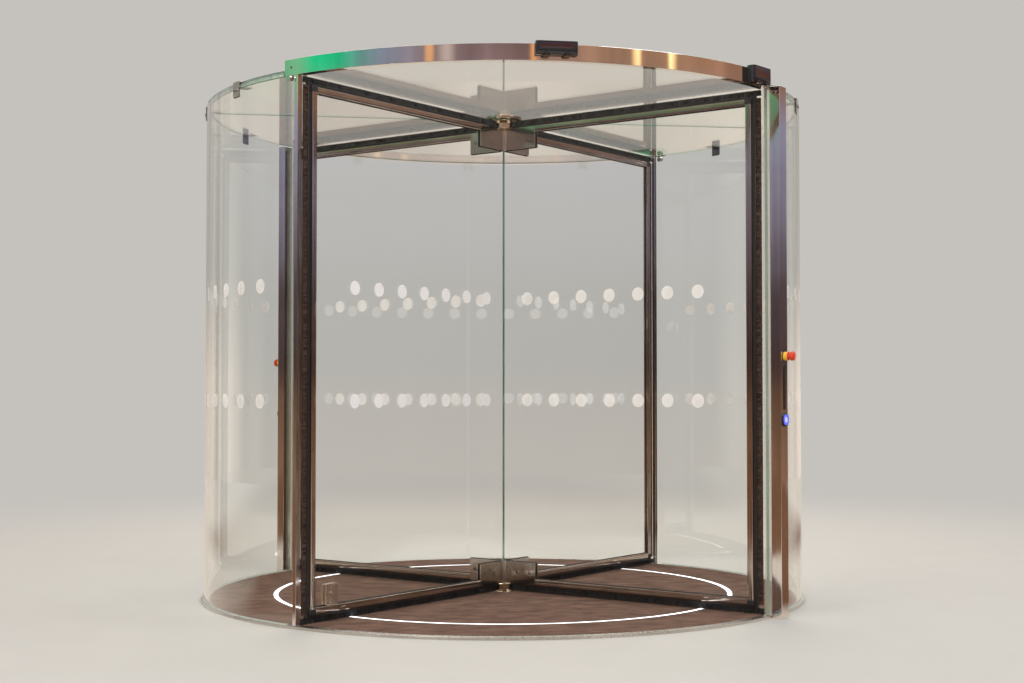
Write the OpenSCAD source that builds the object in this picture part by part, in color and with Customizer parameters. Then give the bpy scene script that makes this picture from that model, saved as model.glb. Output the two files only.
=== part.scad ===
// Glass revolving door with four leaves, a curved glass drum and a glass ceiling.
// The street side looks along -Y, the pivot stands on Z, and the base rests at Z = 0.

/* [Drum] */
// Inner radius of the curved glass walls
drum_r = 1490; // [1300:5:1900]
// Thickness of the curved wall glass
wall_t = 14; // [10:1:20]
// Clear height from the mat to the glass ceiling
clear_h = 2410; // [2100:10:2800]
// Angle of the open mouth on the street side and on the inner side
mouth_deg = 90; // [80:1:100]
// Width of the weather joint between two wall panes
joint_w = 8; // [4:1:16]

/* [Floor] */
// Thickness of the steel base plate
plate_t = 3; // [2:0.5:8]
// Thickness of the entrance mat
mat_t = 9; // [6:0.5:16]
// Width of the steel rim beyond the wall glass
rim_out = 13; // [8:1:30]
// Width of the steel rim inside the wall glass
rim_in = 12; // [8:1:30]
// Depth that the wall glass stands in the rim
seat_depth = 8; // [4:1:10]
// Distance from the wall glass in to the middle of the line of light
led_inset = 338; // [60:2:600]
// Width of the line of light
led_w = 24; // [12:1:40]

/* [Ceiling] */
// Thickness of the ceiling glass
ceiling_t = 24; // [16:1:36]
// Gap between the two ceiling panes
ceiling_joint = 4; // [2:1:10]
// Gap from the ceiling glass to the wall glass
ceiling_gap = 6; // [5:1:12]

/* [Fascia] */
// Height of the steel band over each mouth
fascia_h = 71; // [50:1:140]
// Sheet thickness of the band
fascia_t = 4; // [2:0.5:6]
// Depth of the two flanges of the band
flange_d = 34; // [25:1:60]
// Sheet thickness of the flanges
flange_t = 3; // [2:0.5:6]
// Angle that the band runs on over the wall glass
overlap_deg = 3.2; // [2:0.1:6]

/* [Posts] */
// Radial depth of the pinch posts
post_d = 52; // [40:1:100]
// Width of the pinch posts along the wall
post_w = 68; // [60:1:120]
// Corner radius of the pinch posts
post_round = 3; // [1:0.5:10]
// Distance from the top of the wall glass down to the top of a post
post_drop = 20; // [0:1:40]
// Width of the edge channels along the wall
channel_w = 20; // [16:1:40]
// Side wall of the edge channels
channel_t = 6; // [2:0.5:10]
// Depth that the wall glass stands in a channel
channel_bite = 14; // [8:1:15]
// Outer side wall of the channels that carry a post
post_channel_t = 14; // [6:1:30]
// Radius of the round stud under the free end of a band
stud_r = 14; // [8:1:24]
// Length of that stud outside the wall glass
stud_l = 24; // [12:1:40]

/* [Clamps] */
// Clamps along each wall
clamp_count = 3; // [2:1:5]
// Angle between two clamps
clamp_step = 27; // [16:1:27]
// Width of a clamp
clamp_w = 60; // [40:5:100]
// Thickness of a clamp plate
clamp_t = 6; // [4:1:10]
// Length of the clamp outside the wall glass
clamp_drop = 64; // [40:2:120]
// Length of the clamp over the ceiling glass
clamp_reach = 50; // [30:2:100]

/* [Leaves] */
// Angle of the first leaf where the door parks
park_deg = 45; // [40:1:50]
// Thickness of the leaf glass
leaf_t = 12; // [8:1:16]
// Width across the rails and stiles
frame_t = 36; // [30:1:60]
// Height of the top and bottom rails
rail_h = 30; // [24:1:60]
// Radial width of the outer stile
stile_w = 30; // [24:1:60]
// Depth that the leaf glass stands in the frame
frame_bite = 15; // [10:1:20]
// Chamfer on the long edges of the rails and stiles
frame_edge = 2.5; // [0.5:0.5:5]
// Depth of the shadow groove along both sides of the rails and stiles
groove_d = 1.5; // [0.5:0.5:4]
// Width of that groove
groove_w = 4; // [2:0.5:8]
// Height of the top and bottom brushes
brush_h = 35; // [20:1:60]
// Radial width of the side brush
side_brush_w = 45; // [20:1:60]
// Thickness of the brush carriers
brush_t = 18; // [10:1:28]
// Depth of the brush carriers
carrier_h = 12; // [6:1:16]
// Thickness of the bristle rows where they leave their carrier
bristle_t = 14; // [6:1:24]
// Thickness of the bristle rows at their tips
bristle_tip_t = 9; // [4:1:20]
// Gap from the brushes to what they sweep
sweep_gap = 5; // [5:0.5:12]
// Gap from the level brushes to the pivot discs
pivot_gap = 2; // [0.5:0.5:8]

/* [Hub] */
// Length of a patch fitting along the leaf
patch_l = 210; // [140:5:320]
// Height of the patch fittings
patch_h = 110; // [80:5:200]
// Plate thickness of the patch fittings
patch_t = 10; // [6:1:16]
// Radius of the bend in the patch fittings
patch_bend = 22; // [8:1:40]
// Radius of the pivot discs
pivot_r = 60; // [45:1:80]
// Radius of the pivot pins
pin_r = 20; // [12:1:30]
// Radial running gap between pin and bearing
run_gap = 0.05; // [0.02:0.01:0.1]
// Radius of the bearing bodies
bearing_r = 70; // [60:1:90]
// Height of the bearing above the ceiling glass
bearing_up = 30; // [16:1:60]
// Width of the bearing's flange on the ceiling glass
flange_w = 25; // [15:1:60]
// Wall of the boss that rises round the top pin
boss_t = 14; // [8:1:24]
// Distance from the top of the ceiling glass down to the end of the top pin
pin_end = 6; // [2:1:10]
// Radius of the countersunk screws in the patch fittings
patch_screw_r = 9; // [5:0.5:14]
// Depth of their countersinks
patch_screw_d = 3; // [1:0.5:5]
// Distance from the end of a patch fitting to its outer screw
patch_screw_end = 34; // [15:1:60]
// Distance between the two screws of a wing
patch_screw_step = 74; // [30:1:80]

/* [Lock] */
// Distance from the stile to the lock
lock_gap = 68; // [10:2:600]
// Width of the lock case
lock_w = 76; // [50:2:120]
// Height of the lock case
lock_h = 95; // [60:5:160]
// Plate thickness of the lock case
lock_t = 10; // [6:1:16]
// Corner radius of the lock case
lock_round = 6; // [2:1:14]
// Radius of the key cylinder's rose
rose_r = 12; // [8:1:18]
// Height of the rose over the plate
rose_t = 3; // [1:0.5:6]
// Width of the keyway
keyway_w = 3; // [2:0.5:5]
// Length of the keyway
keyway_l = 14; // [8:1:15]
// Height of the key cylinder over the foot of the lock case
key_up = 52; // [25:1:70]

/* [Controls] */
// Height of the stop button above the base
stop_z = 1190; // [900:10:1400]
// Radius of the stop button's head
stop_r = 21; // [16:1:30]
// Depth of the stop button's collar
stop_collar = 22; // [10:1:30]
// Depth of its neck
stop_neck = 12; // [4:1:20]
// Depth of the straight side of its head
stop_head = 14; // [8:1:24]
// Height of the access button above the base
access_z = 900; // [700:10:1100]
// Radius of the access button
access_r = 31; // [20:1:32]
// Depth of the access button
access_d = 8; // [4:1:16]
// Width of the sensor over the middle of a mouth
mid_sensor_w = 180; // [120:5:300]
// Height of the middle sensor
mid_sensor_h = 56; // [40:2:70]
// Width of the sensor beside a pinch post
side_sensor_w = 150; // [100:5:240]
// Height of the side sensor
side_sensor_h = 74; // [50:2:90]
// Depth of both sensors in front of the band
sensor_d = 36; // [24:2:70]
// Rise of the middle sensor over the band
mid_sensor_up = 6; // [0:1:12]
// Rise of the side sensor over the band
side_sensor_up = 8; // [0:1:12]
// Distance from the side sensor to the pinch edge
side_sensor_gap = 24; // [10:2:200]
// Corner radius of the sensor cases, seen from above
sensor_round = 12; // [4:1:20]
// Radius of the lower front edge of the sensor cases
sensor_nose = 20; // [8:1:24]
// Radius of the round lenses under the sensors
lens_r = 17; // [8:1:17]
// Depth of the lenses below their case
lens_d = 5; // [2:1:8]

/* [Hidden] */
$fn = 180;

// Clearance between pieces that seat in each other
fit = 0.5;
// Hair gap between two solids that only meet
seam = 0.3;

mat_z = plate_t + mat_t;
ceiling_z = mat_z + clear_h;
top_z = ceiling_z + ceiling_t;
wall_z = mat_z - seat_depth;
wall_out = drum_r + wall_t;
ceiling_r = drum_r - ceiling_gap;
rim_r = wall_out + rim_out;
rim_inner = drum_r - rim_in;
led_r = drum_r - led_inset;
wall_half = (180 - mouth_deg) / 2;

channel_in = drum_r - fit - channel_t;
channel_out = wall_out + fit + channel_t;
post_channel_out = max(wall_out + fit + post_channel_t, rim_r);
post_in = post_channel_out + seam;
post_out = post_in + post_d;
post_top = top_z - post_drop;

fascia_in = wall_out + fit;
fascia_out = fascia_in + fascia_t;
flange_in = fascia_in - flange_d;
fascia_z = ceiling_z - flange_t;

brush_tip = channel_in - sweep_gap;
stile_out = brush_tip - side_brush_w;
stile_in = stile_out - stile_w;
lock_r = stile_in - lock_gap - lock_w;
brush_low = mat_z + sweep_gap;
rail_low = brush_low + brush_h;
brush_top = fascia_z - sweep_gap;
rail_top = brush_top - brush_h;
leaf_in = leaf_t / 2 + seam;
rail_in = patch_l + seam;
glass_low = rail_low + rail_h - frame_bite;
glass_top = rail_top - rail_h + frame_bite;

// Angle that an arc of this length covers
function arc_deg(len, r) = len / r * 180 / PI;

// Ring sector from angle a to angle b, standing on z
module arc_wall(r_in, r_out, z, h, a, b) {
    rotate([0, 0, a])
        rotate_extrude(angle = b - a)
            translate([r_in, z]) square([r_out - r_in, h]);
}

// Flat ring standing on z
module ring(r_in, r_out, z, h) {
    rotate_extrude()
        translate([r_in, z]) square([r_out - r_in, h]);
}

// The same piece on both sides of the pivot
module both_sides() {
    for (turn = [0, 180]) rotate([0, 0, turn]) children();
}

// Rectangle with round corners
module round_rect(w, d, r) {
    translate([r, 0]) square([w - 2 * r, d]);
    translate([0, r]) square([w, d - 2 * r]);
    for (x = [r, w - r], y = [r, d - r]) translate([x, y]) circle(r);
}

// Floor

module base_plate() {
    color("silver") difference() {
        cylinder(r = rim_inner - seam, h = plate_t);
        translate([0, 0, -1]) cylinder(r = bearing_r + seam, h = plate_t + 2);
    }
}

module floor_rim() {
    color("silver") difference() {
        ring(rim_inner, rim_r, 0, mat_z);
        both_sides()
            arc_wall(drum_r - fit, wall_out + fit, wall_z, seat_depth + 1, -wall_half, wall_half);
    }
}

module mat_centre() {
    color("dimgray") ring(bearing_r + seam, led_r - led_w / 2 - seam, plate_t, mat_t);
}

module mat_outer() {
    color("dimgray") ring(led_r + led_w / 2 + seam, rim_inner - seam, plate_t, mat_t);
}

module light_ring() {
    color("white") ring(led_r - led_w / 2, led_r + led_w / 2, plate_t, mat_t);
}

module floor_bearing() {
    color("silver") difference() {
        cylinder(r = bearing_r, h = mat_z);
        translate([0, 0, plate_t]) cylinder(r = pin_r + run_gap, h = mat_t + 1);
    }
}

// Drum walls

// Angle between a mouth's edge and the end of the wall glass in its channel
channel_end = arc_deg(channel_w - channel_bite, drum_r);
// Half of the weather joint, as an angle
joint_half = arc_deg(joint_w / 2, drum_r);

// Pane from the facade line to the inner mouth, right side; the others are turned or mirrored
module wall_pane() {
    color("lightcyan", 0.4)
        arc_wall(drum_r, wall_out, wall_z, top_z - wall_z, joint_half, wall_half - channel_end);
}

module wall_right_front() { mirror([0, 1, 0]) wall_pane(); }
module wall_right_rear() { wall_pane(); }
module wall_left_front() { rotate([0, 0, 180]) wall_pane(); }
module wall_left_rear() { mirror([1, 0, 0]) wall_pane(); }

module wall_joints() {
    color("gray") both_sides()
        arc_wall(drum_r, wall_out, mat_z, top_z - mat_z,
            -joint_half + arc_deg(seam, drum_r), joint_half - arc_deg(seam, drum_r));
}

// Channel on the glass edge beside a mouth, out to radius r_out
module edge_channel(r_out) {
    color("silver") difference() {
        arc_wall(channel_in, r_out, mat_z, fascia_z - seam - mat_z,
            wall_half - arc_deg(channel_w, drum_r), wall_half);
        arc_wall(drum_r - fit, wall_out + fit, mat_z - 1, top_z,
            wall_half - arc_deg(channel_w, drum_r) - 1, wall_half - channel_end + arc_deg(fit, drum_r));
    }
}

module edge_channels_rear() {
    edge_channel(channel_out);
    mirror([1, 0, 0]) edge_channel(post_channel_out);
}

module edge_channels_front() { rotate([0, 0, 180]) edge_channels_rear(); }

// Square post outside the pinch edge of a mouth, from the ground beside the floor rim
module pinch_post() {
    color("silver") rotate([0, 0, -wall_half]) translate([post_in, 0, 0])
        linear_extrude(post_top) round_rect(post_d, post_w, post_round);
}

module pinch_post_front() { pinch_post(); }
module pinch_post_rear() { rotate([0, 0, 180]) pinch_post(); }

// Ceiling

module ceiling_half() {
    color("lightcyan", 0.4) difference() {
        arc_wall(0, ceiling_r, ceiling_z, ceiling_t, 0, 180);
        translate([-ceiling_r - 1, -1, ceiling_z - 1])
            cube([2 * ceiling_r + 2, 1 + ceiling_joint / 2, ceiling_t + 2]);
        translate([0, 0, ceiling_z - 1]) cylinder(r = bearing_r + seam, h = ceiling_t + 2);
    }
}

module ceiling_rear() { ceiling_half(); }
module ceiling_front() { rotate([0, 0, 180]) ceiling_half(); }

module ceiling_bearing() {
    color("silver") difference() {
        union() {
            translate([0, 0, fascia_z]) cylinder(r = bearing_r, h = top_z - fascia_z + bearing_up / 2);
            translate([0, 0, top_z]) cylinder(r = bearing_r + flange_w, h = bearing_up / 2);
            translate([0, 0, top_z]) cylinder(r = pin_r + boss_t, h = bearing_up);
        }
        translate([0, 0, fascia_z - 1])
            cylinder(r = pin_r + run_gap, h = top_z - fascia_z + 1);
    }
}

// Saddle clamps that hang the ceiling glass on the top edge of a wall
module clamps() {
    half = arc_deg(clamp_w / 2, drum_r);
    color("silver") for (i = [0 : clamp_count - 1]) {
        mid = (i - (clamp_count - 1) / 2) * clamp_step;
        arc_wall(ceiling_r - clamp_reach, wall_out + fit + clamp_t, top_z + seam, clamp_t,
            mid - half, mid + half);
        arc_wall(wall_out + fit, wall_out + fit + clamp_t, top_z - clamp_drop, clamp_drop + seam,
            mid - half, mid + half);
    }
}

module clamps_right() { clamps(); }
module clamps_left() { rotate([0, 0, 180]) clamps(); }

// Fascia and sensors

// Section of the band, open towards the pivot
module fascia_profile() {
    translate([flange_in, fascia_z]) difference() {
        square([fascia_out - flange_in, fascia_h]);
        translate([-1, flange_t]) square([flange_d + 1, fascia_h - 2 * flange_t]);
    }
}

// Rolled band over a mouth; its flanges hold the ceiling glass and stop short of the wall glass
module fascia() {
    edge = mouth_deg / 2;
    trim = arc_deg(fit, drum_r);
    color("silver") rotate([0, 0, -90]) difference() {
        rotate([0, 0, -edge - overlap_deg])
            rotate_extrude(angle = mouth_deg + overlap_deg - trim) fascia_profile();
        arc_wall(flange_in - 1, fascia_in, fascia_z - 1, fascia_h + 2,
            -edge - overlap_deg - 1, -edge + channel_end / 2);
    }
}

module fascia_front() { fascia(); }
module fascia_rear() { rotate([0, 0, 180]) fascia(); }

// Round studs that hold the free end of each band to the wall glass
module band_studs() {
    color("silver") both_sides()
        rotate([0, 0, -90 - mouth_deg / 2 - overlap_deg / 2])
            translate([wall_out + seam, 0, fascia_z - seam - stud_r])
                rotate([0, 90, 0]) cylinder(r = stud_r, h = stud_l);
}

// Sensor case on the band, with round front corners, a round lower nose and two lenses below
module sensor(w, h, up) {
    z = fascia_z + fascia_h + up - h;
    front = fascia_out + sensor_d;
    difference() {
        union() {
            intersection() {
                translate([fascia_in, -w / 2, z]) linear_extrude(h) {
                    square([front - fascia_in - sensor_round, w]);
                    translate([0, sensor_round]) square([front - fascia_in, w - 2 * sensor_round]);
                    for (y = [sensor_round, w - sensor_round])
                        translate([front - fascia_in - sensor_round, y]) circle(sensor_round);
                }
                translate([0, w / 2 + 1, 0]) rotate([90, 0, 0]) linear_extrude(w + 2) {
                    translate([fascia_in - 1, z]) square([front - fascia_in + 1 - sensor_nose, h + 1]);
                    translate([fascia_in - 1, z + sensor_nose])
                        square([front - fascia_in + 1, h + 1 - sensor_nose]);
                    translate([front - sensor_nose, z + sensor_nose]) circle(sensor_nose);
                }
            }
            for (side = [-1, 1])
                translate([fascia_out + sensor_d / 2, side * w / 4, z - lens_d])
                    cylinder(r = min(lens_r, sensor_d / 2 - 1), h = lens_d + sensor_nose / 2);
        }
        translate([0, 0, z - lens_d - 1]) cylinder(r = fascia_out + seam, h = h + lens_d + 2);
    }
}

module sensor_pair() {
    side_deg = mouth_deg / 2 - arc_deg(side_sensor_w / 2 + side_sensor_gap, drum_r);
    color("black") {
        rotate([0, 0, -90]) sensor(mid_sensor_w, mid_sensor_h, mid_sensor_up);
        rotate([0, 0, -90 + side_deg]) sensor(side_sensor_w, side_sensor_h, side_sensor_up);
    }
}

module sensors_front() { sensor_pair(); }
module sensors_rear() { rotate([0, 0, 180]) sensor_pair(); }

// Controls on the outer face of the pinch posts

// Places a control on the middle of a post's outer face, with its axis outwards
module on_post(z) {
    rotate([0, 0, -wall_half]) translate([post_out, post_w / 2, z]) rotate([0, 90, 0]) children();
}

// Half section of a mushroom head with a domed face
module mushroom_profile() {
    dome_r = stop_r * 2;
    top = stop_neck + stop_head;
    square([stop_r * 0.6, top]);
    translate([0, stop_neck]) square([stop_r, stop_head]);
    intersection() {
        translate([0, top - sqrt(dome_r * dome_r - stop_r * stop_r)]) circle(dome_r);
        translate([0, top - 1]) square([stop_r, stop_r]);
    }
}

module stop_buttons() {
    both_sides() on_post(stop_z) {
        color("gold") cylinder(r = stop_r - 1, h = stop_collar);
        color("red") translate([0, 0, stop_collar]) rotate_extrude() mushroom_profile();
    }
}

module access_buttons() {
    both_sides() on_post(access_z) {
        color("black") cylinder(r = access_r, h = access_d);
        color("royalblue") cylinder(r = access_r - 7, h = access_d + 2);
    }
}

// Leaves

module at_leaf(i) {
    rotate([0, 0, park_deg + 90 * (i - 1)]) children();
}

module leaf_glass(i) {
    color("lightcyan", 0.4) at_leaf(i)
        translate([leaf_in, -leaf_t / 2, glass_low])
            cube([stile_in + frame_bite - leaf_in, leaf_t, glass_top - glass_low]);
}

// Section of a rail or stile of height h, chamfered and grooved, open along one edge for the glass
module frame_profile(h) {
    half = frame_t / 2;
    difference() {
        polygon([
            [-half + frame_edge, 0], [half - frame_edge, 0], [half, frame_edge], [half, h - frame_edge],
            [half - frame_edge, h], [-half + frame_edge, h], [-half, h - frame_edge], [-half, frame_edge]
        ]);
        translate([-leaf_t / 2 - fit, h - frame_bite - fit]) square([leaf_t + 2 * fit, frame_bite + 1]);
        for (side = [-1, 1])
            translate([side * half - groove_d, (h - groove_w) / 2]) square([2 * groove_d, groove_w]);
    }
}

// Section of a brush of depth h: its carrier, then the bristles that narrow to their tips
module brush_profile(h) {
    polygon([
        [-brush_t / 2, 0], [brush_t / 2, 0], [brush_t / 2, carrier_h], [bristle_t / 2, carrier_h],
        [bristle_tip_t / 2, h], [-bristle_tip_t / 2, h], [-bristle_t / 2, carrier_h],
        [-brush_t / 2, carrier_h]
    ]);
}

module leaf_frame(i) {
    color("silver") at_leaf(i) {
        translate([rail_in, 0, rail_low]) rotate([90, 0, 90])
            linear_extrude(stile_in - seam - rail_in) frame_profile(rail_h);
        translate([rail_in, 0, rail_top]) rotate([-90, 0, -90])
            linear_extrude(stile_in - seam - rail_in) mirror([1, 0]) frame_profile(rail_h);
        translate([stile_out, 0, rail_low]) rotate([0, 0, 90])
            linear_extrude(rail_top - rail_low) frame_profile(stile_w);
    }
}

module leaf_brushes(i) {
    level_l = brush_tip - pivot_r - pivot_gap;
    color("black") at_leaf(i) {
        translate([pivot_r + pivot_gap, 0, rail_low]) rotate([-90, 0, -90])
            linear_extrude(level_l) mirror([1, 0]) brush_profile(brush_h);
        translate([pivot_r + pivot_gap, 0, rail_top]) rotate([90, 0, 90])
            linear_extrude(level_l) brush_profile(brush_h);
        translate([stile_out + seam, 0, rail_low + seam]) rotate([0, 0, -90])
            linear_extrude(rail_top - rail_low - 2 * seam) brush_profile(side_brush_w - seam);
    }
}

module leaf_1_glass() { leaf_glass(1); }
module leaf_2_glass() { leaf_glass(2); }
module leaf_3_glass() { leaf_glass(3); }
module leaf_4_glass() { leaf_glass(4); }
module leaf_1_frame() { leaf_frame(1); }
module leaf_2_frame() { leaf_frame(2); }
module leaf_3_frame() { leaf_frame(3); }
module leaf_4_frame() { leaf_frame(4); }
module leaf_1_brushes() { leaf_brushes(1); }
module leaf_2_brushes() { leaf_brushes(2); }
module leaf_3_brushes() { leaf_brushes(3); }
module leaf_4_brushes() { leaf_brushes(4); }

// Hub

// Bent plate that clamps two neighbouring leaves in one corner, with two screws in each wing
module patch(z) {
    wing = patch_l - leaf_t / 2;
    face = leaf_t / 2 + patch_t;
    difference() {
        translate([leaf_t / 2, leaf_t / 2, z]) linear_extrude(patch_h) {
            square([wing, patch_t]);
            square([patch_t, wing]);
            difference() {
                square(patch_t + patch_bend);
                translate([patch_t + patch_bend, patch_t + patch_bend]) circle(patch_bend);
            }
        }
        for (back = [patch_screw_end, patch_screw_end + patch_screw_step]) {
            translate([patch_l - back, face + 1, z + patch_h / 2]) rotate([90, 0, 0])
                cylinder(r = patch_screw_r, h = min(patch_screw_d, patch_t / 2) + 1);
            translate([face + 1, patch_l - back, z + patch_h / 2]) rotate([0, -90, 0])
                cylinder(r = patch_screw_r, h = min(patch_screw_d, patch_t / 2) + 1);
        }
    }
}

module hub_patches(z) {
    color("silver") for (i = [1 : 4]) at_leaf(i) patch(z);
}

module hub_patches_bottom() { hub_patches(rail_low); }
module hub_patches_top() { hub_patches(rail_top - patch_h); }

module hub_joint() {
    side = leaf_t - 2 * seam;
    color("lightcyan") at_leaf(1)
        translate([-side / 2, -side / 2, glass_low]) cube([side, side, glass_top - glass_low]);
}

module top_pivot() {
    color("silver") {
        translate([0, 0, rail_top]) cylinder(r = pivot_r, h = brush_h - sweep_gap);
        translate([0, 0, rail_top]) cylinder(r = pin_r, h = top_z - rail_top - pin_end);
    }
}

module bottom_pivot() {
    color("silver") {
        translate([0, 0, brush_low]) cylinder(r = pivot_r, h = brush_h);
        translate([0, 0, plate_t + seam]) cylinder(r = pin_r, h = brush_low - plate_t);
    }
}

// Floor lock on the leaf that parks at the front left: a plate on each face with a key cylinder
module leaf_lock() {
    color("wheat") at_leaf(3) for (side = [-1, 1])
        scale([1, side, 1]) translate([lock_r, leaf_t / 2 + lock_t, rail_low + rail_h])
            rotate([90, 0, 0]) difference() {
                union() {
                    linear_extrude(lock_t) round_rect(lock_w, lock_h, lock_round);
                    translate([lock_w / 2, key_up, -rose_t]) cylinder(r = rose_r, h = rose_t + 1);
                }
                translate([(lock_w - keyway_w) / 2, key_up - keyway_l / 2, -rose_t - 1])
                    cube([keyway_w, keyway_l, rose_t + 2]);
            }
}

base_plate();
floor_rim();
mat_centre();
mat_outer();
light_ring();
floor_bearing();
wall_left_front();
wall_left_rear();
wall_right_front();
wall_right_rear();
wall_joints();
edge_channels_front();
edge_channels_rear();
pinch_post_front();
pinch_post_rear();
ceiling_front();
ceiling_rear();
ceiling_bearing();
clamps_left();
clamps_right();
fascia_front();
fascia_rear();
band_studs();
sensors_front();
sensors_rear();
stop_buttons();
access_buttons();
leaf_1_glass();
leaf_2_glass();
leaf_3_glass();
leaf_4_glass();
leaf_1_frame();
leaf_2_frame();
leaf_3_frame();
leaf_4_frame();
leaf_1_brushes();
leaf_2_brushes();
leaf_3_brushes();
leaf_4_brushes();
hub_patches_top();
hub_patches_bottom();
hub_joint();
top_pivot();
bottom_pivot();
leaf_lock();
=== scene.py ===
# Looks of a glass revolving door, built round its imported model. Lengths are in metres.
import math
import random

import bmesh
import bpy
from mathutils import Matrix, Vector


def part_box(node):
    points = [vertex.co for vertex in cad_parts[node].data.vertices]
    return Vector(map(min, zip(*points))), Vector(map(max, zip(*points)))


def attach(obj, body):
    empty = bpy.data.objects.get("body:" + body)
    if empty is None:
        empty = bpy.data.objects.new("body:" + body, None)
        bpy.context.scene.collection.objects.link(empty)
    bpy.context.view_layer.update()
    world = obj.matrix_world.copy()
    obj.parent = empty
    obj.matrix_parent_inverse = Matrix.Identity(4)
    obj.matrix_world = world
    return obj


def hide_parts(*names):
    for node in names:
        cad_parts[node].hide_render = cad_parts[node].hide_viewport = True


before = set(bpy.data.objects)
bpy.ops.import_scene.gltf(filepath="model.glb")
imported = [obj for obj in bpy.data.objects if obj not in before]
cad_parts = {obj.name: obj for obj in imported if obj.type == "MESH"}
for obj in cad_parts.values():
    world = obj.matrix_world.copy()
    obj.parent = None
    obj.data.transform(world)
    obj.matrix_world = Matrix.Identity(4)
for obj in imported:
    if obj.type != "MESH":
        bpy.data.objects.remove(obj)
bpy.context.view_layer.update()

drumBody = "drum"
leafBody = "rotor"
leafCount = 4
lockedLeaf = 3
parkAngle = math.radians(45)  # where the first leaf stands at rest
postAngle = math.radians(-45)  # where the street post stands
up = Vector((0, 0, 1))


# Sizes read from the imported model

def turned(angle):
    return Matrix.Rotation(angle, 4, "Z")


def moved(x, y, z):
    return Matrix.Translation((x, y, z))


def leafTurn(number):
    return turned(parkAngle + math.tau / leafCount * (number - 1))


def facingSide(side):
    # lays a part's own z along y: out of one face of a leaf or the other
    return Matrix.Rotation(-side * math.pi / 2, 4, "X")


def boxInTurn(node, turn):
    # corners of a node in a frame that is turned about the pivot
    back = turn.inverted()
    points = [back @ vert.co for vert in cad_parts[node].data.vertices]
    return [Vector(pick(p[k] for p in points) for k in range(3)) for pick in (min, max)]


def radiiOf(node):
    radii = [vert.co.to_2d().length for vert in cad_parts[node].data.vertices]
    return min(radii), max(radii)


alongX = Matrix.Rotation(math.pi / 2, 4, "Y")  # lays a part's own z along x
upsideDown = Matrix.Rotation(math.pi, 4, "X")
wallIn, wallOut = radiiOf("wall_right_rear")
ceilingRadius = radiiOf("ceiling_rear")[1]
bandOut = radiiOf("fascia_front")[1]
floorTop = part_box("mat_centre")[1].z
ceilingLow, ceilingTop = (corner.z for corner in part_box("ceiling_rear"))
bandLow, bandHigh = (corner.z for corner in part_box("fascia_front"))
leafGlassHigh = boxInTurn("leaf_1_glass", leafTurn(1))[1]
leafFrameLow, leafFrameHigh = boxInTurn("leaf_1_frame", leafTurn(1))
leafBrushLow, leafBrushHigh = boxInTurn("leaf_1_brushes", leafTurn(1))
lockLow, lockHigh = boxInTurn("leaf_lock", leafTurn(lockedLeaf))
postTurn = turned(postAngle)
postLow, postHigh = boxInTurn("pinch_post_front", postTurn)
print("sizes read: drum radius", round(wallIn, 3), "ceiling", round(ceilingLow, 3), "to", round(ceilingTop, 3))


# Finishes

finishes = {}
noiseSpan = (0.3, 0.7)  # where most of a noise lies
glassIndex = 1.5


def newFinish(name):
    finish = bpy.data.materials.new(name)
    finish.use_nodes = True
    finish.node_tree.nodes.clear()
    finishes[name] = finish
    return finish


def addNode(finish, kind, values={}, **settings):
    # values go to the sockets of the node: numbers and colours are set, sockets of other nodes are joined to it
    made = finish.node_tree.nodes.new("ShaderNode" + kind)
    for key, value in settings.items():
        setattr(made, key, value)
    for key, value in values.items():
        if isinstance(value, bpy.types.NodeSocket):
            finish.node_tree.links.new(value, made.inputs[key])
        else:
            made.inputs[key].default_value = value
    return made


def objectNoise(finish, scale, stretch=(1, 1, 1), detail=3):
    # noise on the piece's own coordinates, stretched along its grain
    place = addNode(finish, "TexCoord").outputs["Object"]
    fit = addNode(finish, "Mapping", {"Vector": place, "Scale": stretch}).outputs["Vector"]
    return addNode(finish, "TexNoise", {"Vector": fit, "Scale": scale, "Detail": detail}).outputs["Fac"]


def spread(finish, value, low, high):
    # a noise as numbers from low to high
    span = {"Value": value, "From Min": noiseSpan[0], "From Max": noiseSpan[1], "To Min": low, "To Max": high}
    return addNode(finish, "MapRange", span).outputs["Result"]


def twoColours(finish, value, first, second, edges=(0.35, 0.65)):
    ramp = addNode(finish, "ValToRGB", {"Fac": value})
    for stop, edge, colour in zip(ramp.color_ramp.elements, edges, (first, second)):
        stop.position = edge
        stop.color = (*colour, 1)
    return ramp.outputs["Color"]


def bumped(finish, value, strength, distance):
    return addNode(finish, "Bump", {"Height": value, "Strength": strength, "Distance": distance}).outputs["Normal"]


def principled(finish, values):
    return addNode(finish, "BsdfPrincipled", values).outputs[0]


def plainShader(finish, colour, kind="Emission"):
    return addNode(finish, kind, {"Color": (*colour, 1)}).outputs[0]


def mixed(finish, factor, first, second):
    return addNode(finish, "MixShader", {"Fac": factor, 1: first, 2: second}).outputs[0]


def mixedColours(finish, factor, first, second):
    both = addNode(finish, "Mix", {"Factor": factor, "A": first, "B": second}, data_type="RGBA")
    return both.outputs["Result"]


def byRay(finish, ray, others, these):
    # one shader for the rays of a kind and another for the rest
    return mixed(finish, addNode(finish, "LightPath").outputs[ray], others, these)


def addSurface(finish, surface, kind="OutputMaterial"):
    addNode(finish, kind, {"Surface": surface})


def metalFinish(name, look):
    finish = newFinish(name)
    grain = objectNoise(finish, look["grain"], (1, 1, look["stretch"]))
    haze = objectNoise(finish, look["haze"], detail=5)
    addSurface(finish, principled(finish, {
        "Metallic": 1, "Base Color": twoColours(finish, haze, look["dark"], look["light"]),
        "Roughness": spread(finish, grain, look["smooth"], look["rough"]),
        "Normal": bumped(finish, grain, look["relief"], 0.0004)}))


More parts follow.
